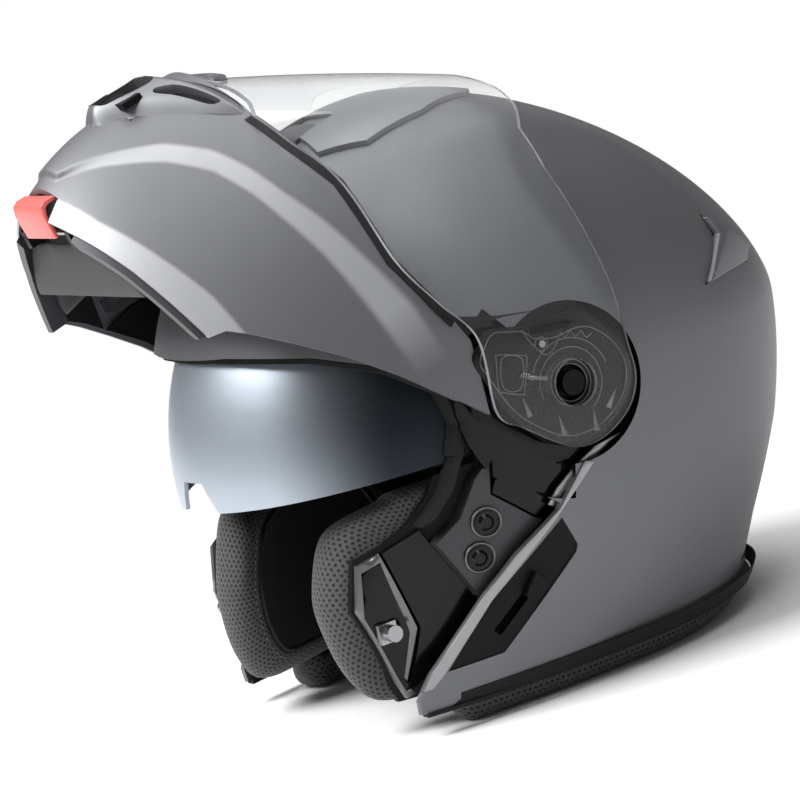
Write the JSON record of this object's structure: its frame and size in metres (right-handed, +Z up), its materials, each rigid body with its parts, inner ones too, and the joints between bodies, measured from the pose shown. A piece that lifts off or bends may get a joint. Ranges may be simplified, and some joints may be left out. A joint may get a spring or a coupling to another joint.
{
  "type": "modular motorcycle helmet",
  "caption": "Flip-up motorcycle helmet with its chin bar raised, clear face shield, drop-down mirrored sun visor, padded lining and ratchet chin strap.",
  "frame": {"origin": "middle of the model's box in plan, on the flat underside of the neck roll", "axes": "+X to the wearer's left, +Y to the wearer's rear, +Z up"},
  "size_m": [0.2541, 0.3454, 0.308],
  "materials": {
    "shell_paint": "satin grey metallic paint",
    "vent_paint": "satin light grey paint",
    "eps_foam": "expanded foam, black",
    "lining": "soft brushed lining",
    "mesh_fabric": "spacer mesh",
    "webbing": "woven webbing",
    "seal_rubber": "matt rubber",
    "trim_plastic": "dark grey satin",
    "black_plastic": "fine textured black",
    "gloss_black": "polished black",
    "lever_red": "satin red",
    "steel": "turned steel",
    "clear_shield": "clear polycarbonate",
    "mirror_visor": "silver blue mirror coat over smoke"
  },
  "bodies": {
    "shell": {"outer_shell": "shell_paint", "eps_liner": "eps_foam", "comfort_liner": "lining", "cheek_pad_left": "mesh_fabric", "cheek_pad_right": "mesh_fabric", "neck_roll": "mesh_fabric", "rim_beading": "seal_rubber", "eyeport_seal": "seal_rubber", "side_frame_left": "black_plastic", "side_frame_right": "black_plastic", "corner_panel_left": "gloss_black", "corner_panel_right": "gloss_black", "stud_plate_left": "shell_paint", "stud_plate_right": "shell_paint", "stud_screws": "gloss_black", "cheek_cover_left": "gloss_black", "cheek_cover_right": "gloss_black", "cheek_trim_left": "trim_plastic", "cheek_trim_right": "trim_plastic", "latch_pins": "steel", "slider_panel_left": "black_plastic", "blank_panel_right": "black_plastic", "pivot_bolts": "steel", "sun_visor_pins": "steel", "top_vent_cover": "shell_paint", "rear_vent_left": "shell_paint", "rear_vent_right": "shell_paint", "strap_left": "webbing", "strap_right": "webbing", "strap_anchors": "steel", "buckle_housing": "steel", "ladder_strap": "black_plastic"},
    "chin_bar": {"chin_bar_shell": "shell_paint", "chin_bar_liner": "lining", "chin_carrier_left": "black_plastic", "chin_carrier_right": "black_plastic", "chin_trim": "trim_plastic", "chin_mesh_panel": "mesh_fabric", "mouth_vent_frame": "vent_paint", "shield_gasket": "seal_rubber", "shield_base_left": "gloss_black", "shield_base_right": "gloss_black", "shield_springs": "steel", "lever_pin": "steel"},
    "shield": {"shield": "clear_shield"},
    "release_lever": {"release_lever": "lever_red"},
    "latch_hook_left": {"latch_hook_left": "steel"},
    "latch_hook_right": {"latch_hook_right": "steel"},
    "mouth_vent_slider": {"mouth_vent_slider": "black_plastic"},
    "sun_visor": {"sun_visor": "mirror_visor"},
    "sun_visor_slider": {"sun_visor_slider": "gloss_black"},
    "top_vent_slider": {"top_vent_slider": "trim_plastic"},
    "buckle_lever": {"buckle_lever": "lever_red"}
  },
  "joints": [
    {"name": "chin_bar_flip", "type": "hinge", "parent": "shell", "child": "chin_bar", "pos_m": [0, 0.009, 0.1355], "axis": [1, 0, 0], "range_deg": [0, 75.4]},
    {"name": "shield_lift", "type": "hinge", "parent": "chin_bar", "child": "shield", "pos_m": [0, 0.009, 0.1355], "axis": [1, 0, 0], "range_deg": [-24, 0]},
    {"name": "sun_visor_drop", "type": "hinge", "parent": "shell", "child": "sun_visor", "pos_m": [0, -0.003, 0.1175], "axis": [-1, 0, 0], "range_deg": [0, 38]},
    {"name": "sun_visor_slide", "type": "slide", "parent": "shell", "child": "sun_visor_slider", "axis": [-0.2454, -0.7562, -0.6065], "range_m": [0, 0.022]},
    {"name": "chin_release", "type": "hinge", "parent": "chin_bar", "child": "release_lever", "pos_m": [0, -0.15516, 0.25395], "axis": [1, 0, 0], "range_deg": [0, 12], "stiffness_Nm_per_rad": 0.5, "springref_deg": -8.59},
    {"name": "hook_left_turn", "type": "hinge", "parent": "chin_bar", "child": "latch_hook_left", "pos_m": [0.0872, -0.08266, 0.20566], "axis": [1, 0, 0], "range_deg": [0, 10]},
    {"name": "hook_right_turn", "type": "hinge", "parent": "chin_bar", "child": "latch_hook_right", "pos_m": [-0.0872, -0.08266, 0.20566], "axis": [1, 0, 0], "range_deg": [0, 10]},
    {"name": "mouth_vent_slide", "type": "slide", "parent": "chin_bar", "child": "mouth_vent_slider", "axis": [0, 0.9677, 0.2521], "range_m": [0, 0.006]},
    {"name": "top_vent_slide", "type": "slide", "parent": "shell", "child": "top_vent_slider", "axis": [0, 0.9588, 0.284], "range_m": [0, 0.008]},
    {"name": "buckle_open", "type": "hinge", "parent": "shell", "child": "buckle_lever", "pos_m": [0.0118, 0.013, 0.02866], "axis": [0, 1, 0], "range_deg": [0, 60], "stiffness_Nm_per_rad": 0.02, "springref_deg": -5.73}
  ],
  "couplings": [
    {"joint": "sun_visor_slide", "follows": "sun_visor_drop", "m_per_rad": 0.0331},
    {"joint": "hook_left_turn", "follows": "chin_release", "ratio": 0.8333},
    {"joint": "hook_right_turn", "follows": "chin_release", "ratio": 0.8333}
  ]
}
